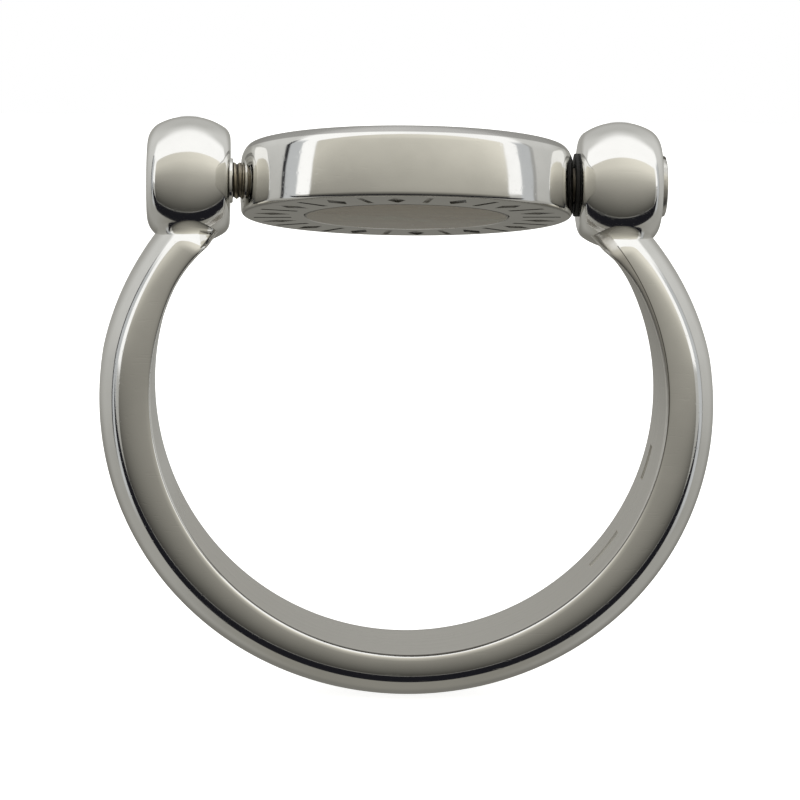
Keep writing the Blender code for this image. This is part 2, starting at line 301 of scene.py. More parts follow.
class Shader:
    """Builds the node tree of one material or world."""

    def __init__(self, owner):
        owner.use_nodes = True
        self.tree = owner.node_tree
        self.tree.nodes.clear()

    def add(self, kind, settings=None, sockets=None):
        """Add a node, set it up, then fill its sockets with values or links."""
        node = self.tree.nodes.new(kind)
        for name, value in (settings or {}).items():
            if name == "stops":
                self.set_stops(node.color_ramp, value)
            else:
                setattr(node, name, value)
        for name, value in (sockets or {}).items():
            source = getattr(value, "socket", value)
            if isinstance(source, bpy.types.NodeSocket):
                self.tree.links.new(source, node.inputs[name])
            else:
                node.inputs[name].default_value = source
        return node

    @staticmethod
    def set_stops(ramp, stops):
        """Give a colour ramp its stops, as (place, colour) pairs."""
        while len(ramp.elements) < len(stops):
            ramp.elements.new(1.0)
        for element, (place, value) in zip(ramp.elements, stops):
            element.position = place
            element.color = (*value, 1.0)

    def maths(self, operation, *operands):
        """Add a Math node and return its number."""
        node = self.add("ShaderNodeMath", {"operation": operation}, dict(enumerate(operands)))
        return Value(self, node.outputs[0])

    def mix(self, factor, first, second):
        """A colour between two colours, each a link or three numbers."""
        first, second = (value if isinstance(value, bpy.types.NodeSocket) else (*value, 1.0)
                         for value in (first, second))
        node = self.add("ShaderNodeMix", {"data_type": "RGBA"}, {0: factor, 6: first, 7: second})
        return node.outputs[2]

    def split(self, vector):
        """The three numbers of a vector."""
        node = self.add("ShaderNodeSeparateXYZ", {}, {0: vector})
        return [Value(self, socket) for socket in node.outputs]

    def join(self, x, y, z):
        """A vector from three numbers."""
        return self.add("ShaderNodeCombineXYZ", {}, {0: x, 1: y, 2: z}).outputs[0]

    def millimetres(self, centre=(0.0, 0.0, 0.0), turn=(0.0, 0.0, 0.0)):
        """Place on the piece in millimetres, from a centre given in metres, and turned."""
        where = self.add("ShaderNodeTexCoord").outputs["Object"]
        moved = self.add("ShaderNodeVectorMath", {"operation": "SUBTRACT"}, {0: where, 1: centre})
        turned = self.add("ShaderNodeMapping", {"vector_type": "POINT"},
                          {"Vector": moved.outputs[0], "Rotation": turn, "Scale": (1 / MM,) * 3})
        return turned.outputs[0]

    def noise(self, vector, scale, detail=4.0, roughness=0.55):
        """Noise from about 0 to 1."""
        node = self.add("ShaderNodeTexNoise", {},
                        {"Vector": vector, "Scale": scale, "Detail": detail, "Roughness": roughness})
        return Value(self, node.outputs["Fac"])

    def bump(self, height, distance):
        """Surface normal of a height map; the distance is in metres."""
        return self.add("ShaderNodeBump", {}, {"Height": height, "Distance": distance}).outputs[0]

    def finish(self, sockets):
        """Add the Principled shader with these sockets and the output."""
        surface = self.add("ShaderNodeBsdfPrincipled", {}, sockets)
        self.add("ShaderNodeOutputMaterial", {}, {"Surface": surface.outputs[0]})


def shaded(value, level):
    """A colour made darker or lighter."""
    return tuple(level * channel for channel in value)


def scratches(shader, vector, seed):
    """Fine hairlines in a few directions, from 0 to 1."""
    found = None
    for number, (turn, stretch) in enumerate(((0.35, 26.0), (-0.9, 30.0), (1.9, 22.0))):
        mapped = shader.add("ShaderNodeMapping", {}, {
            "Vector": vector, "Rotation": (turn, 0.4 * turn, turn + seed),
            "Location": (seed + number, seed, number), "Scale": (0.35, stretch / 3, stretch / 3)})
        lines = shader.noise(mapped.outputs[0], 1.0, 2.0, 0.5).step(0.66, 0.74)
        found = lines if found is None else shader.maths("MAXIMUM", found, lines)
    return found


def polish(shader, settings, place, seed, smudge_scale=0.55, haze=0.035):
    """Tint, roughness and hairlines of buffed white gold, with soft smudges."""
    smudge = shader.noise(place, smudge_scale, 3.0)
    lines = scratches(shader, place, seed)
    tint = shader.mix(smudge.step(0.35, 0.7), settings.gold, shaded(settings.gold, 0.94))
    rough = settings.gold_gloss + smudge.step(0.45, 0.75) * haze + lines * 0.05
    return tint, rough, lines


def polishing_ripple(shader, place, lines):
    """Normal of a buffed surface: a faint ripple and its hairlines."""
    return shader.bump(shader.noise(place, 1.3, 1.0) * 0.8 - lines * 0.12, 0.004 * MM)


def polished_gold(settings):
    """White gold of the ball terminals."""
    material = bpy.data.materials.new("white_gold")
    shader = Shader(material)
    place = shader.millimetres()
    tint, rough, lines = polish(shader, settings, place, 1.7)
    shader.finish({"Base Color": tint, "Metallic": 1.0, "Roughness": rough,
                   "Normal": polishing_ripple(shader, place, lines)})
    return material


def band_gold(settings, band):
    """The band's white gold: polished outside, dull and finely scratched beside the finger, with a painted
    shade line along both inner edges.
    """
    material = bpy.data.materials.new("band_white_gold")
    shader = Shader(material)
    place = shader.millimetres()
    x, y, z = shader.split(place)
    opening = band.finger_radius / MM
    radius = shader.maths("SQRT", x * x + z * z)
    around = shader.maths("ARCTAN2", z, x) * opening
    inside = radius.step(opening + 0.05, opening + 0.02)
    outer, outer_rough, lines = polish(shader, settings, place, 4.1, 0.5, 0.03)
    rubbed = shader.noise(shader.join(around * 0.22, y * 9.0, radius), 1.0, 4.0, 0.65)
    gouges = shader.noise(shader.join(around * 0.9, y * 5.0, 3.0), 1.0, 2.0, 0.5).step(0.62, 0.72)
    worn = shader.mix(rubbed, settings.inner_gold, shaded(settings.inner_gold, 0.86))
    lip = (band.width / 2 - band.edge_round) / MM
    # Painted shade: a thin dark line in the grime colour along both inner edges beside the finger, standing
    # for a shadowed line on the rounded edge; worn then carries the wear and this painted shade.
    line = radius.between(opening, opening + 0.035, 0.02) * abs(y).step(lip - 0.01, lip)
    worn = shader.mix(line * 0.8, worn, settings.grime)
    inner_rough = settings.inner_gloss - 0.1 + rubbed * 0.22
    rough = outer_rough * (1 - inside) + inner_rough * inside
    height = inside * (rubbed * 0.9 - gouges * 0.7) - lines * 0.1
    shader.finish({"Base Color": shader.mix(inside, outer, worn), "Metallic": 1.0, "Roughness": rough,
                   "Normal": shader.bump(height, 0.006 * MM)})
    return material


def screw_steel(settings, sizes):
    """Machined metal of the screw, browned at the thread, with grime between its turns."""
    material = bpy.data.materials.new("screw_metal")
    shader = Shader(material)
    place = shader.millimetres((0.0, 0.0, AXLE_Z))
    x, y, z = shader.split(place)
    radius = shader.maths("SQRT", y * y + z * z)
    spots = shader.noise(place, 5.0, 4.0)
    crest = sizes.thread_crest / MM
    root = crest - sizes.thread_depth / MM
    under_head = SCREW_HIGH.x / MM - 2.0
    thread = x.step(under_head, under_head - 0.2)
    grime = radius.step(crest - 0.01, root) * thread * (0.55 + spots * 0.6)
    bare = shader.mix(thread, settings.screw, settings.thread)
    turning = shader.noise(shader.join(radius, 0.0, 0.0), 40.0, 1.0)
    metal = shader.mix(spots.step(0.3, 0.75) * 0.35, bare, settings.grime)
    shader.finish({"Base Color": shader.mix(grime, metal, settings.grime), "Metallic": 1.0 - grime * 0.8,
                   "Roughness": 0.22 + spots * 0.16 + grime * 0.3,
                   "Normal": shader.bump(turning * (1 - thread), 0.003 * MM)})
    return material


def washer_black(settings):
    """Matte black polymer with a slight grain."""
    material = bpy.data.materials.new("washer_black")
    shader = Shader(material)
    grain = shader.noise(shader.millimetres(), 14.0, 3.0)
    tint = shader.mix(grain, settings.washer, shaded(settings.washer, 2.2))
    shader.finish({"Base Color": tint, "Roughness": 0.5 + grain * 0.25,
                   "Normal": shader.bump(grain, 0.01 * MM)})
    return material


def head_place(shader):
    """Place in millimetres on the head as it lies flat, from its own centre."""
    return shader.millimetres(tuple(HEAD_CENTRE), (-HEAD_TILT, 0.0, 0.0))


def pearl_shell(settings, head):
    """Cream mother-of-pearl: soft layered veins under a polished face, with a dark cement line."""
    material = bpy.data.materials.new("pearl_shell")
    shader = Shader(material)
    place = head_place(shader)
    x, y, z = shader.split(place)
    radius = shader.maths("SQRT", x * x + y * y)
    drift = shader.noise(place, 0.35, 2.0)
    layers = shader.noise(shader.join(x * 0.35 + drift * 2.5, y * 1.4 + drift * 4.0, z), 1.0, 5.0, 0.6)
    rose = shader.mix(layers.step(0.35, 0.62), settings.pearl, settings.pearl_rose)
    cool = shader.mix(shader.noise(place, 0.6, 3.0).step(0.5, 0.72), rose, settings.pearl_green)
    rim = radius.step((head.inlay_radius - 2.0 * head.edge_break) / MM,
                      (head.inlay_radius - 0.8 * head.edge_break) / MM)
    shader.finish({"Base Color": shader.mix(rim * 0.85, cool, settings.grime),
                   "Roughness": 0.2 + layers * 0.12, "Specular IOR Level": 0.6, "Coat Weight": 0.6,
                   "Coat Roughness": 0.06, "Sheen Weight": 0.15,
                   "Normal": shader.bump(layers, 0.003 * MM)})
    return material


def onyx_stone(settings):
    """Black stone with barely visible clouds and a few polishing hairlines."""
    material = bpy.data.materials.new("onyx_stone")
    shader = Shader(material)
    place = head_place(shader)
    clouds = shader.noise(place, 0.7, 5.0)
    lines = scratches(shader, place, 2.3)
    tint = shader.mix(clouds.step(0.4, 0.8), settings.onyx, shaded(settings.onyx, 2.5))
    shader.finish({"Base Color": tint, "Roughness": 0.07 + clouds * 0.05 + lines * 0.1,
                   "Coat Weight": 0.5, "Coat Roughness": 0.04,
                   "Normal": shader.bump(lines * -0.3 + clouds * 0.5, 0.002 * MM)})
    return material


def engraved_gold(settings, head):
    """Polished white gold whose engraved marks keep a little darker patina."""
    material = bpy.data.materials.new("engraved_white_gold")
    shader = Shader(material)
    place = head_place(shader)
    x, y, z = shader.split(place)
    radius = shader.maths("SQRT", x * x + y * y)
    depth = HEAD_HALF / MM - abs(z)
    border = radius.between((head.inlay_radius + head.edge_break) / MM, head.radius / MM - 0.1, 0.02)
    engraved = depth.step(0.01, 0.03) * border
    recess = radius.step((head.inlay_radius + head.edge_break) / MM, head.inlay_radius / MM)
    patina = shader.maths("MAXIMUM", engraved * 0.5, recess)
    tint, rough, lines = polish(shader, settings, place, 5.9)
    shader.finish({"Base Color": shader.mix(patina, tint, settings.grime), "Metallic": 1.0,
                   "Roughness": rough + patina * 0.35, "Normal": polishing_ripple(shader, place, lines)})
    return material


# ---------------------------------------------------------------- modelling helpers


def deselect():
    """Leave nothing selected, in object mode."""
    if bpy.context.object and bpy.context.object.mode != "OBJECT":
        bpy.ops.object.mode_set(mode="OBJECT")
    bpy.ops.object.select_all(action="DESELECT")


def choose(piece):
    """Make one object the only selected and the active one."""
    deselect()
    piece.select_set(True)
    bpy.context.view_layer.objects.active = piece


def name_new(name):
    """Name the object that an operator has just added."""
    piece = bpy.context.object
    piece.name = name
    piece.data.name = name
    return piece


def apply_modifier(piece, kind, **settings):
    """Add a modifier, set it up and apply it."""
    choose(piece)
    modifier = piece.modifiers.new(kind.lower(), kind)
    for name, value in settings.items():
        setattr(modifier, name, value)
    bpy.ops.object.modifier_apply(modifier=modifier.name)


def cut(piece, cutter):
    """Cut one object out of another and remove the cutter."""
    apply_modifier(piece, "BOOLEAN", operation="DIFFERENCE", solver="EXACT", object=cutter)
    bpy.data.objects.remove(cutter, do_unlink=True)


def join(pieces, name):
    """Join objects into the first one."""
    deselect()
    for piece in pieces:
        piece.select_set(True)
    bpy.context.view_layer.objects.active = pieces[0]
    bpy.ops.object.join()
    return name_new(name)


def merge_and_face_out(piece):
    """Merge doubles, then point every face outwards."""
    choose(piece)
    bpy.ops.object.mode_set(mode="EDIT")
    bpy.ops.mesh.select_all(action="SELECT")
    bpy.ops.mesh.remove_doubles(threshold=MERGE_WITHIN)
    bpy.ops.mesh.select_all(action="SELECT")
    bpy.ops.mesh.normals_make_consistent(inside=False)
    bpy.ops.object.mode_set(mode="OBJECT")


def smooth(piece, degrees=30.0):
    """Shade a piece smooth, keep its sharp edges and keep its flats flat."""
    choose(piece)
    bpy.ops.object.shade_smooth_by_angle(angle=math.radians(degrees))
    apply_modifier(piece, "WEIGHTED_NORMAL", keep_sharp=True, weight=100)


def hand_over(piece, material, body, slot, *nodes):
    """Give a finished piece its material and body, and hide the nodes that it stands for; slot is not used.
    """
    choose(piece)
    bpy.ops.object.transform_apply(location=True, rotation=True, scale=True)
    piece.data.materials.clear()
    piece.data.materials.append(material)
    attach(piece, body)
    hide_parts(*nodes)


class Outline:
    """Half outline of a turned piece, drawn point by point in the XZ plane and then spun."""

    def __init__(self, name, x, z):
        deselect()
        bpy.ops.mesh.primitive_plane_add(size=MM, location=(x, 0.0, z))
        self.piece = name_new(name)
        bpy.ops.object.transform_apply(location=True, rotation=True, scale=True)
        bpy.ops.object.mode_set(mode="EDIT")
        bpy.ops.mesh.select_mode(type="VERT")
        bpy.ops.mesh.select_all(action="SELECT")
        bpy.ops.mesh.merge(type="CENTER")
        self.start = Vector((x, 0.0, z))
        self.at = self.start.copy()

    def line(self, x, z):
        """Draw a straight line to a point."""
        step = Vector((x, 0.0, z)) - self.at
        bpy.ops.mesh.extrude_region_move(TRANSFORM_OT_translate={"value": step})
        self.at += step

    def arc(self, x, z, degrees, steps):
        """Draw an arc about a centre, anticlockwise as seen with X to the right and Z up."""
        bpy.ops.mesh.spin(steps=steps, angle=math.radians(degrees), center=(x, 0.0, z), axis=(0.0, 1.0, 0.0))
        centre = Vector((x, 0.0, z))
        self.at = centre + Matrix.Rotation(-math.radians(degrees), 3, "Y") @ (self.at - centre)

    def close(self):
        """Draw a line back to the first point."""
        self.line(self.start.x, self.start.z)

    def turn(self, centre, axis, steps):
        """Spin the outline all the way round and return the closed piece."""
        bpy.ops.mesh.select_all(action="SELECT")
        bpy.ops.mesh.spin(steps=steps, angle=math.tau, center=centre, axis=axis, use_auto_merge=True)
        bpy.ops.object.mode_set(mode="OBJECT")
        merge_and_face_out(self.piece)
        return self.piece


# ---------------------------------------------------------------- pieces


def rise_between(value, low, high):
    """0 below low, 1 above high and a straight rise between."""
    return min(max((value - low) / (high - low), 0.0), 1.0)


class BandShape:
    """Where the band's surface lies, from the angle of a section and a place round it."""

    # How late each bend sets in: 1 is even, more keeps it near the end of its span.
    outer_lean_power = 1.3
    inner_lean_power = 2
    side_power = 3

    def __init__(self, band):
        self.band = band

    def station_angle(self, along):
        """Angle of a section from +X; along runs from 0 at the left tip to 1 at the right one."""
        crowding = 0.12
        eased = crowding * math.sin(math.pi * (along - 0.5)) + (1 - crowding) * (2 * along - 1)
        return LOWEST + (self.band.tongue_end - LOWEST) * eased

    def point(self, along, around):
        """Point on the surface; around runs from 0 to 1 round the section."""
        band = self.band
        turned = self.station_angle(along)
        height = abs(turned - LOWEST) + LOWEST
        thickness = band.thickness + band.swell * math.sin(math.pi * rise_between(height, *SWELL_SPAN)) ** 2
        inner_lean = band.inner_lean * rise_between(height, *INNER_LEAN_SPAN) ** self.inner_lean_power
        outer_lean = band.outer_lean * rise_between(height, *OUTER_LEAN_SPAN) ** self.outer_lean_power
        inner = band.finger_radius - inner_lean
        outer = band.finger_radius + thickness - outer_lean
        tongue = rise_between(height, band.tongue_start, band.tongue_end)
        fullness = band.tongue_fullness
        half_width = band.width / 2 * max((1 - tongue ** fullness) ** (1 / fullness), 0.12)
        y, radius = self.section(around, half_width, inner, outer)
        side = AXLE_MIDDLE_X * rise_between(height, LOWEST, band.tongue_end) ** self.side_power
        return Vector((radius * math.cos(turned) + side, y, radius * math.sin(turned)))

    def section(self, around, half_width, inner, outer):
        """Point of the D section as (y, radius): flat, rounded edge, crown, rounded edge."""
        edge = self.band.edge_round
        flat_share, edge_share = 0.16, 0.06
        flat = half_width - edge
        shoulder = inner + edge
        if around < flat_share:
            return flat * (1 - 2 * around / flat_share), inner
        around -= flat_share
        if around < edge_share:
            bend = math.pi / 2 * around / edge_share
            return -flat - edge * math.sin(bend), shoulder - edge * math.cos(bend)
        around -= edge_share
        crown_share = 1 - flat_share - 2 * edge_share
        if around < crown_share:
            bend = math.pi * (1 - around / crown_share)
            power = 2 / self.band.fullness
            across = math.copysign(abs(math.cos(bend)) ** power, math.cos(bend))
            return half_width * across, shoulder + (outer - shoulder) * max(math.sin(bend), 0.0) ** power
        bend = math.pi / 2 * (1 - (around - crown_share) / edge_share)
        return flat + edge * math.sin(bend), shoulder - edge * math.cos(bend)


class RING_OT_band(bpy.types.Operator):
    """Wrap a grid round the finger opening as the open band, with rounded tongues for ends"""

    bl_idname = "flip_ring.band"
    bl_label = "Band"

    def execute(self, context):
        settings = context.scene.flip_ring
        band = settings.band
        shape = BandShape(band)
        deselect()
        bpy.ops.mesh.primitive_grid_add(x_subdivisions=band.stations, y_subdivisions=band.around, size=2.0)
        piece = name_new("open_band")
        for vertex in piece.data.vertices:
            vertex.co = shape.point((vertex.co.x + 1) / 2, (vertex.co.y + 1) / 2)
        bpy.ops.object.mode_set(mode="EDIT")
        bpy.ops.mesh.select_all(action="SELECT")
        bpy.ops.mesh.remove_doubles(threshold=MERGE_WITHIN)
        bpy.ops.mesh.select_all(action="DESELECT")
        bpy.ops.mesh.select_non_manifold(extend=False)
        bpy.ops.mesh.edge_face_add()
        bpy.ops.object.mode_set(mode="OBJECT")
        merge_and_face_out(piece)
        cut(piece, self.cartouche_cutters(band))
        smooth(piece, 40.0)
        hand_over(piece, band_gold(settings.finish, band), "band", "band_metal", "shank")
        return {"FINISHED"}

    def cartouche_cutters(self, band):
        """Blank stamped fields on the inside, as one cutter."""
        fields = ((6.0, 0.25, 0.7), (-16.0, 0.15, 1.2), (-38.0, 0.0, 1.5))
        cutters = []
        # Each field's angle in degrees, place across as a share of the width, and length in millimetres.
        for turn, across, long in fields:
            turn = math.radians(turn)
            reach = band.finger_radius
            deselect()
            bpy.ops.mesh.primitive_cube_add(
                size=1.0, location=(reach * math.cos(turn), across * band.width, reach * math.sin(turn)),
                rotation=(0.0, -turn, 0.0))
            cutter = name_new("cartouche_cutter")
            cutter.scale = (2 * band.stamp_depth, band.stamp_width, long * MM)
            apply_modifier(cutter, "BEVEL", width=0.12, segments=3, offset_type="PERCENT")
            cutters.append(cutter)
        return join(cutters, "cartouche_cutters")


def corner_centre(edge_round):
    """Centre of a ball's corner arc, along and out from the ball's middle, and the angle it sweeps."""
    along = TERMINAL_HALF_WIDTH - edge_round
    out = math.sqrt((TERMINAL_RADIUS - edge_round) ** 2 - along ** 2)
    return along, out, math.degrees(math.atan2(out, along))


def ball_outline(outline, centre_x, right_round, left_round):
    """Continue an outline over the ball, from the rim of its +X flat end to the rim of its -X one."""
    right_along, right_out, right_sweep = corner_centre(right_round)
    left_along, left_out, left_sweep = corner_centre(left_round)
    outline.line(centre_x + TERMINAL_HALF_WIDTH, AXLE_Z + right_out)
    outline.arc(centre_x + right_along, AXLE_Z + right_out, right_sweep, CORNER_STEPS)
    outline.arc(centre_x, AXLE_Z, 180 - right_sweep - left_sweep, BALL_STEPS)
    outline.arc(centre_x - left_along, AXLE_Z + left_out, left_sweep, CORNER_STEPS)


class RING_OT_terminals(bpy.types.Operator):
    """Turn the two ball terminals: a boss and thread hole on the left, a counterbore on the right"""

    bl_idname = "flip_ring.terminals"
    bl_label = "Terminals"

    def execute(self, context):
        settings = context.scene.flip_ring
        terminal = settings.terminal
        material = polished_gold(settings.finish)
        for piece, node in ((self.left(terminal), "left_terminal"), (self.right(terminal), "right_terminal")):
            smooth(piece)
            hand_over(piece, material, "band", "polished_metal", node)
        return {"FINISHED"}

    def left(self, terminal):
        """Left ball, with a hole in a low boss on its +X end."""
        centre_x = LEFT_LOW.x + TERMINAL_HALF_WIDTH
        face = centre_x + TERMINAL_HALF_WIDTH
        mouth = face + terminal.boss_height
        hole = AXLE_Z + terminal.hole_radius
        outline = Outline("left_ball", face - terminal.hole_depth, AXLE_Z)
        outline.line(face - terminal.hole_depth, hole)
        outline.line(mouth, hole)
        outline.line(mouth, AXLE_Z + terminal.boss_radius - FINE_EDGE)
        outline.line(mouth - FINE_EDGE, AXLE_Z + terminal.boss_radius)
        outline.line(face, AXLE_Z + terminal.boss_radius)
        ball_outline(outline, centre_x, terminal.inner_round, terminal.outer_round)
        outline.line(centre_x - TERMINAL_HALF_WIDTH, AXLE_Z)
        return outline.turn(*AXLE, 128)

    def right(self, terminal):
        """Right ball, with a clear hole and a counterbore in its +X end."""
        centre_x = RIGHT_HIGH.x - TERMINAL_HALF_WIDTH
        seat = RIGHT_HIGH.x - terminal.counterbore_depth
        hole = AXLE_Z + terminal.hole_radius
        bore = AXLE_Z + terminal.counterbore_radius
        outline = Outline("right_ball", seat, hole)
        outline.line(seat, bore)
        outline.line(RIGHT_HIGH.x - FINE_EDGE, bore)
        outline.line(RIGHT_HIGH.x, bore + FINE_EDGE)
        ball_outline(outline, centre_x, terminal.outer_round, terminal.inner_round)
        outline.line(RIGHT_LOW.x, hole)
        outline.close()
        return outline.turn(*AXLE, 128)


class RING_OT_screw(bpy.types.Operator):
    """Turn the pivot screw, cut its slot and wind its thread"""

    bl_idname = "flip_ring.screw"
    bl_label = "Pivot screw"

    def execute(self, context):
        settings = context.scene.flip_ring
        sizes = settings.screw
        body = self.turned_body(sizes, settings.terminal)
        self.cut_slot(body, sizes)
        piece = join([body, self.wound_thread(sizes)], "slotted_screw")
        smooth(piece)
        hand_over(piece, screw_steel(settings.finish, sizes), "band", "screw_metal", "pivot_screw")
        return {"FINISHED"}

    def turned_body(self, sizes, terminal):
        """Head and plain shank, up to the start of the thread inside the round head."""
        top = SCREW_HIGH.x
        seat_gap = 0.02 * MM
        under = RIGHT_HIGH.x - terminal.counterbore_depth + seat_gap
        chamfer = sizes.head_chamfer
        outline = Outline("screw_body", top, AXLE_Z)
        outline.line(top, AXLE_Z + sizes.head_radius - chamfer)
        outline.line(top - 0.3 * chamfer, AXLE_Z + sizes.head_radius - 0.3 * chamfer)
        outline.line(top - chamfer, AXLE_Z + sizes.head_radius)
        outline.line(under, AXLE_Z + sizes.head_radius)
        outline.line(under, AXLE_Z + sizes.shank_radius)
        outline.line(THREAD_END_X, AXLE_Z + sizes.shank_radius)
        outline.line(THREAD_END_X, AXLE_Z)
        return outline.turn(*AXLE, 96)

    def cut_slot(self, body, sizes):
        """Cut the screwdriver slot across the head."""
        deselect()
        bpy.ops.mesh.primitive_cube_add(size=1.0, location=(SCREW_HIGH.x, 0.0, AXLE_Z),
                                        rotation=(sizes.slot_turn, 0.0, 0.0))
        slot = name_new("slot_cutter")
        slot.scale = (2 * sizes.slot_depth, sizes.slot_width, 3 * sizes.head_radius)
        cut(body, slot)

    def wound_thread(self, sizes):
        """Wind one ridge along the axle, then cut the ends square and cap them."""
        start = SCREW_LOW.x
        crest = AXLE_Z + sizes.thread_crest
        root = crest - sizes.thread_depth
        flank = crest - 0.1 * sizes.thread_depth
        turns = math.ceil((THREAD_END_X - start) / sizes.pitch) + 2
        outline = Outline("thread", start - sizes.pitch, root)
        for along, z in ((-0.60, flank), (-0.52, crest), (-0.48, crest), (-0.40, flank), (0.0, root)):
            outline.line(start + along * sizes.pitch, z)
        bpy.ops.mesh.select_all(action="SELECT")
        bpy.ops.transform.translate(value=(0.0, 0.0, -AXLE_Z))
        bpy.ops.object.mode_set(mode="OBJECT")
        thread = outline.piece
        apply_modifier(thread, "SCREW", axis="X", screw_offset=sizes.pitch, iterations=turns,
                       steps=40, render_steps=40, use_merge_vertices=True, merge_threshold=MERGE_WITHIN)
        merge_and_face_out(thread)
        bpy.ops.object.mode_set(mode="EDIT")
        for x, clear in ((start, "clear_inner"), (THREAD_END_X, "clear_outer")):
            bpy.ops.mesh.select_all(action="SELECT")
            bpy.ops.mesh.bisect(plane_co=(x, 0.0, 0.0), plane_no=AXLE[1], use_fill=True, **{clear: True})
        bpy.ops.mesh.select_all(action="SELECT")
        bpy.ops.mesh.normals_make_consistent(inside=False)
        bpy.ops.transform.translate(value=(0.0, 0.0, AXLE_Z))
        bpy.ops.object.mode_set(mode="OBJECT")
        return thread


class RING_OT_washer(bpy.types.Operator):
    """Turn the thin black washer beside the right terminal"""

    bl_idname = "flip_ring.washer"
    bl_label = "Friction washer"

    def execute(self, context):
        settings = context.scene.flip_ring
        outer = AXLE_Z + settings.screw.washer_radius
        hole = AXLE_Z + settings.terminal.hole_radius
        squeeze = 0.015 * MM
        low, high = WASHER_LOW.x, WASHER_HIGH.x + squeeze
        outline = Outline("black_washer", low, hole)
        outline.line(high, hole)
        outline.line(high, outer - FINE_EDGE)
        outline.arc(high - FINE_EDGE, outer - FINE_EDGE, 90.0, 4)
        outline.line(low + FINE_EDGE, outer)
        outline.arc(low + FINE_EDGE, outer - FINE_EDGE, 90.0, 4)
        outline.close()
        piece = outline.turn(*AXLE, 96)
        smooth(piece)
        hand_over(piece, washer_black(settings.finish), "band", "washer_black", "friction_washer")
        return {"FINISHED"}


def set_in_head(piece):
    """Tilt a piece made flat round the origin and move it to the head's place."""
    choose(piece)
    piece.rotation_euler.x = HEAD_TILT
    piece.location = HEAD_CENTRE


class RING_OT_case(bpy.types.Operator):
    """Turn the round case, drill its cross bore and engrave both borders"""

    bl_idname = "flip_ring.case"
    bl_label = "Round case"

    def execute(self, context):
        settings = context.scene.flip_ring
        head = settings.head
        case = self.turned_case(head)
        self.drill(case, head.radius, settings.terminal.hole_radius)
        cut(case, self.border_cutters(head))
        merge_and_face_out(case)
        smooth(case)
        set_in_head(case)
        hand_over(case, engraved_gold(settings.finish, head), "head", "polished_metal", "head_frame")
        return {"FINISHED"}

    def turned_case(self, head):
        """Case as one turned piece with a recess in each face."""
        floor = HEAD_HALF - head.inlay_depth - head.inlay_gap
        recess = head.inlay_radius + head.inlay_gap
        edge = head.edge_break
        upper, shoulder, lower, rim = head.upper_round, head.shoulder_round, head.lower_round, head.rim_round
        shoulder_z = HEAD_HALF - upper - (shoulder - upper) * math.sin(head.shoulder_lean)
        shoulder_x = head.radius - rim + (rim - shoulder) * math.cos(head.rim_lean)
        bulge = shoulder_z - (rim - shoulder) * math.sin(head.rim_lean)
        lower_lean = math.asin((HEAD_HALF - lower + bulge) / (rim - lower))
        upper_x = shoulder_x + (shoulder - upper) * math.cos(head.shoulder_lean)
        lower_x = head.radius - rim + (rim - lower) * math.cos(lower_lean)
        outline = Outline("round_case", 0.0, floor)
        outline.line(recess, floor)
        outline.line(recess, HEAD_HALF - edge)
        outline.line(recess + edge, HEAD_HALF)
        outline.line(upper_x, HEAD_HALF)
        outline.arc(upper_x, HEAD_HALF - upper, math.degrees(head.shoulder_lean) - 90.0, 12)
        outline.arc(shoulder_x, shoulder_z, math.degrees(head.rim_lean - head.shoulder_lean), 14)
        outline.arc(head.radius - rim, bulge, -math.degrees(head.rim_lean + lower_lean), 12)
        outline.arc(lower_x, -HEAD_HALF + lower, math.degrees(lower_lean) - 90.0, 10)
        outline.line(recess + edge, -HEAD_HALF)
        outline.line(recess, -HEAD_HALF + edge)
        outline.line(recess, -floor)
        outline.line(0.0, -floor)
        return outline.turn(*UPRIGHT, 240)

    def drill(self, case, case_radius, hole_radius):
        """Drill the cross bore right through."""
        deselect()
        bpy.ops.mesh.primitive_cylinder_add(vertices=64, radius=hole_radius, depth=2.5 * case_radius,
                                            rotation=(0.0, math.pi / 2, 0.0))
        cut(case, name_new("bore_cutter"))

    def border_cutters(self, head):
        """Bars and lozenges by turns round both borders, as one cutter."""
        middle = (head.inlay_radius + head.edge_break + head.radius) / 2
        cutters = []
        for side in (-1, 1):
            for number in range(head.marks):
                turn = math.tau * (number + 0.5) / head.marks
                place = (middle * math.cos(turn), middle * math.sin(turn), side * HEAD_HALF)
                deselect()
                if number % 2:
                    bpy.ops.mesh.primitive_cube_add(size=1.0, location=place, rotation=(0.0, 0.0, turn))
                    width = head.mark_width
                else:
                    bpy.ops.mesh.primitive_cylinder_add(vertices=4, radius=0.5, depth=1.0, location=place,
                                                        rotation=(0.0, 0.0, turn))
                    width = 3 * head.mark_width
                cutter = name_new("mark_cutter")
                cutter.scale = (head.mark_length, width, 2 * head.mark_depth)
                cutters.append(cutter)
        return join(cutters, "border_cutter")


class RING_OT_inlays(bpy.types.Operator):
    """Turn the pearl inlay for the lower face and the black one for the upper face"""

    bl_idname = "flip_ring.inlays"
    bl_label = "Inlays"

    def execute(self, context):
        settings = context.scene.flip_ring
        head = settings.head
        pearl = self.turned_inlay("pearl_inlay", head, -1)
        hand_over(pearl, pearl_shell(settings.finish, head), "head", "pearl", "lower_inlay")
        onyx = self.turned_inlay("onyx_inlay", head, 1)
        hand_over(onyx, onyx_stone(settings.finish), "head", "onyx", "upper_inlay")
        return {"FINISHED"}

    def turned_inlay(self, name, head, side):
        """Flat disc with a broken edge, in the recess on one side of the head."""
        face = side * HEAD_HALF
        back = face - side * head.inlay_depth
        edge = head.edge_break
        outline = Outline(name, 0.0, back)
        outline.line(head.inlay_radius, back)
        outline.line(head.inlay_radius, face - side * edge)
        outline.arc(head.inlay_radius - edge, face - side * edge, side * 90.0, 5)
        outline.line(0.0, face)
        piece = outline.turn(*UPRIGHT, 160)
        smooth(piece)
        set_in_head(piece)
        return piece


# ---------------------------------------------------------------- studio


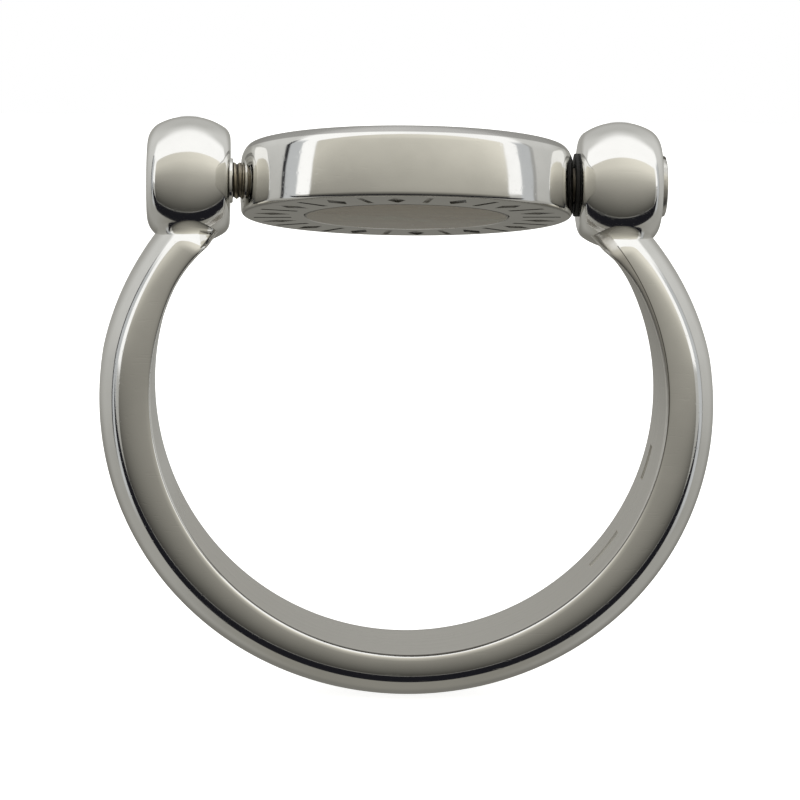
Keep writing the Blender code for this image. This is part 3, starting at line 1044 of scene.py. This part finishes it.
def light_tent(studio):
    """World of soft cards round the ring: front card, overhead light, side strips, grey walls and back."""
    world = bpy.data.worlds.new("light_tent")
    bpy.context.scene.world = world
    shader = Shader(world)
    direction = shader.add("ShaderNodeTexCoord").outputs["Generated"]
    x, y, z = shader.split(direction)
    degree = 180 / math.pi
    side = shader.maths("ARCTAN2", x, -y) * degree
    away = abs(side)
    pitch = shader.maths("ARCTAN2", z, -y) * degree
    height = shader.maths("ARCSINE", z) * degree

    # What lies behind the ring: grey walls that get lighter towards the overhead light.
    sides = shader.mix(height.step(-30.0, 25.0), studio.low_wall, studio.wall)
    behind = shader.mix(height.step(-16.0, -5.0), studio.low_back, studio.mid_back)
    behind = shader.mix(height.step(10.0, 34.0), behind, studio.back)
    tent = shader.mix(away.step(125.0, 165.0), sides, behind)
    tent = shader.mix(height.step(-45.0, -72.0), tent, studio.below)
    tent = shader.mix(height.step(50.0, 88.0), tent, studio.white)
    # Side strips, a cool stretch of wall and a narrow dark gap behind them, fainter on the right.
    cool = away.between(*COOL_AWAY, 1.6) * height.between(*COOL_HEIGHT, 12.0)
    tent = shader.mix(cool, tent, studio.blue_wall)
    gap = away.between(*GAP_AWAY, 1.6) * height.between(*GAP_HEIGHT, 12.0)
    tent = shader.mix(gap * (1 - 0.65 * side.step(0.0, 1.0)), tent, studio.dark)
    strips = away.between(*STRIP_AWAY, 1.4) * pitch.between(*STRIP_PITCH, 14.0)
    right_foot = side.between(60.0, 90.0, 1.0) * pitch.step(12.0, -4.0)
    tent = shader.mix(strips * (1 - right_foot), tent, studio.white)
    # Overhead light, then the card in front and the dark gap under it.
    overhead = pitch.step(55.5, 57.0) * pitch.step(112.0, 94.0) * height.step(20.0, 32.0)
    tent = shader.mix(overhead, tent, studio.white)
    low, high = CARD_LEVELS[0][0], CARD_LEVELS[-1][0]
    stops = [((at - low) / (high - low), shaded(studio.card, level)) for at, level in CARD_LEVELS]
    card = shader.add("ShaderNodeValToRGB", {"stops": stops}, {"Fac": (pitch - low) / (high - low)})
    brighter_right = 0.85 + 0.38 * side.step(-110.0, 110.0)
    card = shader.add("ShaderNodeVectorMath", {"operation": "SCALE"},
                      {0: card.outputs[0], "Scale": brighter_right})
    tent = shader.mix(away.step(*CARD_SIDE) * pitch.between(low, high, 1.6), tent, card.outputs[0])
    low_gap = pitch.between(*LOW_GAP_PITCH, 2.0) * side.between(*LOW_GAP_SIDE, 3.0)
    tent = shader.mix(low_gap, tent, studio.dark)

    seen = shader.add("ShaderNodeLightPath").outputs["Is Camera Ray"]
    shown = shader.mix(seen, tent, (1.0, 1.0, 1.0))
    surface = shader.add("ShaderNodeBackground", {}, {"Color": shown, "Strength": 1.0})
    shader.add("ShaderNodeOutputWorld", {}, {"Surface": surface.outputs[0]})


class RING_OT_stage(bpy.types.Operator):
    """Set up the camera, the light tent and the pale floor"""

    bl_idname = "flip_ring.stage"
    bl_label = "Studio"

    def execute(self, context):
        studio = context.scene.flip_ring.studio
        self.add_camera(context, studio)
        light_tent(studio)
        self.add_floor(studio)
        context.scene.view_settings.view_transform = "Standard"
        context.scene.view_settings.look = "None"
        return {"FINISHED"}

    def add_camera(self, context, studio):
        """Camera on a sphere round the finger opening, aimed at its centre."""
        turn, rise, roll = studio.turn, studio.rise, studio.roll
        forward = Vector((-math.sin(turn) * math.cos(rise), math.cos(turn) * math.cos(rise), -math.sin(rise)))
        right = Vector((math.cos(turn), math.sin(turn), 0.0))
        upward = right.cross(forward)
        across = right * math.cos(roll) + upward * math.sin(roll)
        above = upward * math.cos(roll) - right * math.sin(roll)
        bpy.ops.object.camera_add(location=-forward * studio.distance)
        camera = context.object
        camera.name = "camera"
        camera.rotation_euler = Matrix((across, above, -forward)).transposed().to_euler()
        camera.data.sensor_width = 36.0
        camera.data.lens = studio.lens
        camera.data.shift_x = studio.shift_x
        camera.data.shift_y = studio.shift_y
        camera.data.clip_start = MM
        camera.data.clip_end = 10.0
        context.scene.camera = camera

    def add_floor(self, studio):
        """Pale floor under the band, left out of the metal's reflections."""
        deselect()
        bpy.ops.mesh.primitive_plane_add(size=0.6, location=(0.0, 0.0, CAD_BOX[0].z))
        floor = name_new("floor")
        material = bpy.data.materials.new("pale_floor")
        shader = Shader(material)
        shader.finish({"Base Color": (*studio.floor, 1.0), "Roughness": 1.0, "Specular IOR Level": 0.0,
                       "Emission Color": (1.0, 1.0, 1.0, 1.0), "Emission Strength": studio.floor_glow})
        floor.data.materials.append(material)
        floor.visible_glossy = False
        floor.visible_diffuse = False


class RING_PT_panel(bpy.types.Panel):
    """Panel that lists the ring's pieces and its studio"""

    bl_idname = "RING_PT_panel"
    bl_label = "Flip ring"
    bl_space_type = "VIEW_3D"
    bl_region_type = "UI"
    bl_category = "Flip ring"

    def draw(self, context):
        for operator in OPERATORS:
            self.layout.operator(operator.bl_idname)


SETTINGS = (BandSettings, TerminalSettings, ScrewSettings, HeadSettings, FinishSettings, StudioSettings,
            RingSettings)
OPERATORS = (RING_OT_stage, RING_OT_band, RING_OT_terminals, RING_OT_screw, RING_OT_washer, RING_OT_case,
             RING_OT_inlays)


def register():
    """Register the classes and hang the settings on the scene."""
    for item in (*SETTINGS, *OPERATORS, RING_PT_panel):
        bpy.utils.register_class(item)
    bpy.types.Scene.flip_ring = PointerProperty(type=RingSettings)


def unregister():
    """Undo register."""
    del bpy.types.Scene.flip_ring
    for item in reversed((*SETTINGS, *OPERATORS, RING_PT_panel)):
        bpy.utils.unregister_class(item)


def main():
    """Build the ring and its studio."""
    register()
    bpy.ops.flip_ring.stage()
    bpy.ops.flip_ring.band()
    bpy.ops.flip_ring.terminals()
    bpy.ops.flip_ring.screw()
    bpy.ops.flip_ring.washer()
    bpy.ops.flip_ring.case()
    bpy.ops.flip_ring.inlays()


if __name__ == "__main__":
    main()
